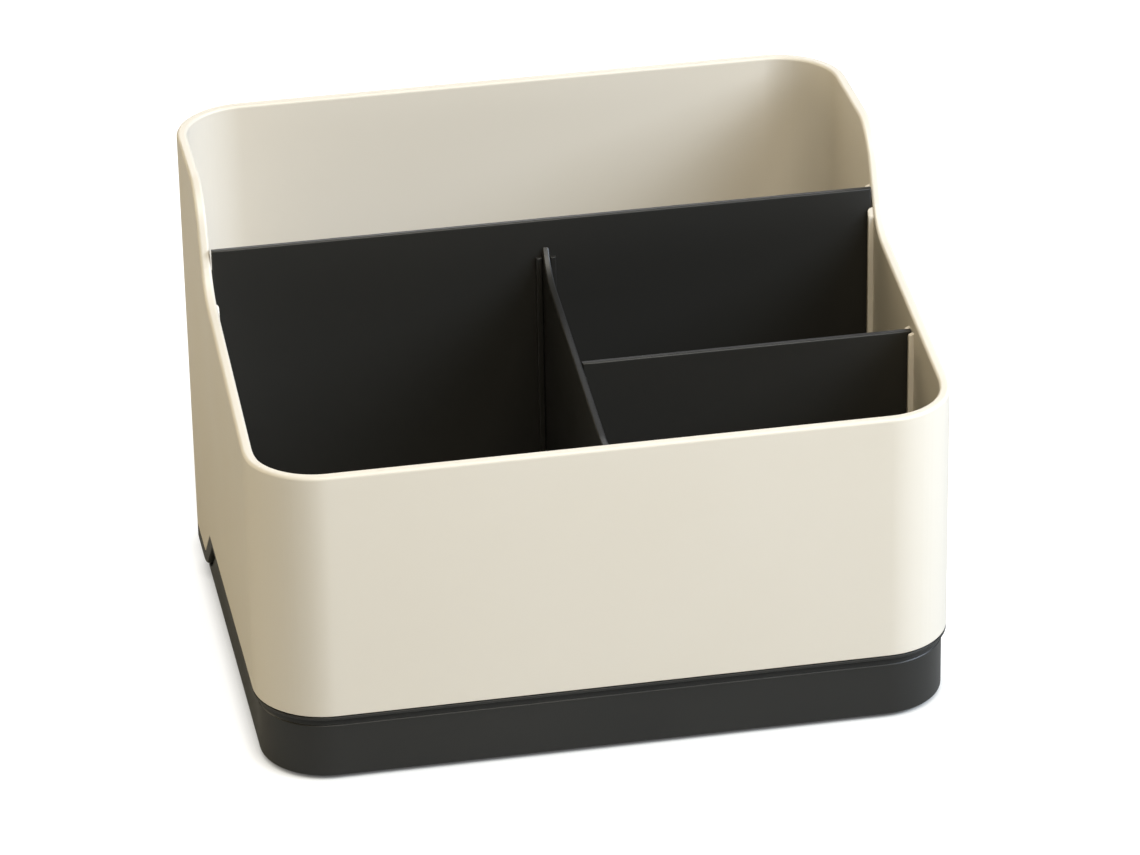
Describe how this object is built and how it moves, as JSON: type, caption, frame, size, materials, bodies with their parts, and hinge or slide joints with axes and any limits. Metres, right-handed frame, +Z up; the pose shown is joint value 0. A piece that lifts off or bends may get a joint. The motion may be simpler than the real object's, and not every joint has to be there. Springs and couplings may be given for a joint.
{
  "type": "desk organizer",
  "caption": "Rounded desk organizer with a high back, lift-out dividers, a stepped floor and a shallow pull-out tray under the front.",
  "frame": {"origin": "on the desk, under the middle of the footprint", "axes": "+X to the organizer's right as seen from its front, +Y towards its high back, +Z up"},
  "size_m": [0.2, 0.166, 0.1366],
  "materials": {
    "cream_plastic": "satin moulded",
    "charcoal_plastic": "fine matt moulded",
    "slide_plastic": "smooth low-friction moulded",
    "foot_rubber": "soft matt",
    "screw_steel": "zinc plated"
  },
  "bodies": {
    "housing": {"outer_shell": "cream_plastic", "stepped_floor": "charcoal_plastic", "left_runner": "slide_plastic", "right_runner": "slide_plastic", "drawer_stop": "slide_plastic", "front_left_shell_screw": "screw_steel", "front_right_shell_screw": "screw_steel", "rear_left_shell_screw": "screw_steel", "rear_right_shell_screw": "screw_steel", "left_front_runner_screw": "screw_steel", "left_rear_runner_screw": "screw_steel", "right_front_runner_screw": "screw_steel", "right_rear_runner_screw": "screw_steel", "drawer_stop_screw": "screw_steel", "rear_left_foot": "foot_rubber", "rear_right_foot": "foot_rubber"},
    "drawer": {"drawer_tray": "charcoal_plastic", "drawer_front_left_glide": "slide_plastic", "drawer_front_right_glide": "slide_plastic", "drawer_rear_left_glide": "slide_plastic", "drawer_rear_right_glide": "slide_plastic"},
    "rear_panel": {"rear_divider": "charcoal_plastic"},
    "long_panel": {"long_divider": "charcoal_plastic"},
    "cross_panel": {"cross_divider": "charcoal_plastic"}
  },
  "joints": [
    {"name": "drawer_slide", "type": "slide", "parent": "housing", "child": "drawer", "axis": [0, -1, 0], "range_m": [0, 0.075]},
    {"name": "rear_panel_lift", "type": "slide", "parent": "housing", "child": "rear_panel", "axis": [0, 0, 1], "range_m": [0, 0.115]},
    {"name": "long_panel_lift", "type": "slide", "parent": "housing", "child": "long_panel", "axis": [0, 0, 1], "range_m": [0, 0.115]},
    {"name": "cross_panel_lift", "type": "slide", "parent": "housing", "child": "cross_panel", "axis": [0, 0, 1], "range_m": [0, 0.115]}
  ]
}
